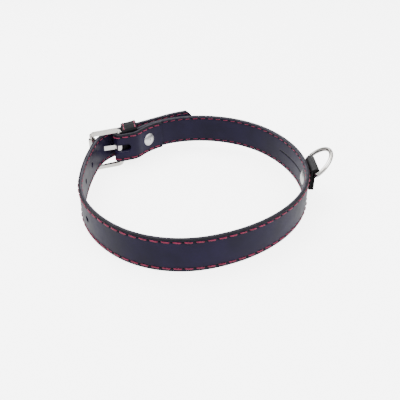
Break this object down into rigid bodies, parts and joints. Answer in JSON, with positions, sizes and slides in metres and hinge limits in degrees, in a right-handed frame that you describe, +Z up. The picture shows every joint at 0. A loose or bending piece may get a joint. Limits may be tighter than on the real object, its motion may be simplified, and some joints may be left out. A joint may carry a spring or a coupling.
{
  "type": "buckle dog collar",
  "caption": "Flat leather dog collar, buckled to a ring, with stitched strap, roller buckle, keeper loop and a leash ring on a riveted tab.",
  "frame": {"origin": "centre of the collar's bounding box, on the surface that it lies on", "axes": "+Z up across the strap width, +X towards the leash ring side, +Y towards the side with the buckle and the strap tip"},
  "size_m": [0.1564, 0.168, 0.033],
  "materials": {
    "strap_leather": "semi-gloss finished leather",
    "lining_leather": "semi-gloss finished leather, finer grain",
    "keeper_leather": "semi-gloss finished leather",
    "red_thread": "waxed thread",
    "bright_nickel": "bright nickel plate"
  },
  "bodies": {
    "strap": {"strap_face": "strap_leather", "strap_lining": "lining_leather", "thread_face_upper": "red_thread", "thread_face_lower": "red_thread", "thread_lining_upper": "red_thread", "thread_lining_lower": "red_thread", "keeper_loop": "keeper_leather", "keeper_thread_front": "red_thread", "keeper_thread_rear": "red_thread", "rivet_caps": "bright_nickel", "buckle_rivet_post": "bright_nickel", "ring_tab": "keeper_leather", "tab_rivet_post": "bright_nickel"},
    "buckle": {"buckle_frame": "bright_nickel"},
    "roller": {"buckle_roller": "bright_nickel"},
    "prong": {"buckle_prong": "bright_nickel"},
    "ring": {"d_ring": "bright_nickel"}
  },
  "joints": [
    {"name": "buckle_swing", "type": "hinge", "parent": "strap", "child": "buckle", "pos_m": [-0.05815, 0.03866, 0.014], "axis": [0, 0, -1], "range_deg": [0, 3]},
    {"name": "prong_swing", "type": "hinge", "parent": "buckle", "child": "prong", "pos_m": [-0.05815, 0.03866, 0.014], "axis": [0, 0, -1], "range_deg": [0, 3]},
    {"name": "roller_spin", "type": "hinge", "parent": "buckle", "child": "roller", "pos_m": [-0.07492, 0.03084, 0.014], "axis": [0, 0, 1], "continuous": true},
    {"name": "ring_swing", "type": "hinge", "parent": "strap", "child": "ring", "pos_m": [0.06725, -0.00473, 0.022], "axis": [0.005, -1, 0], "range_deg": [-125, 85]}
  ]
}
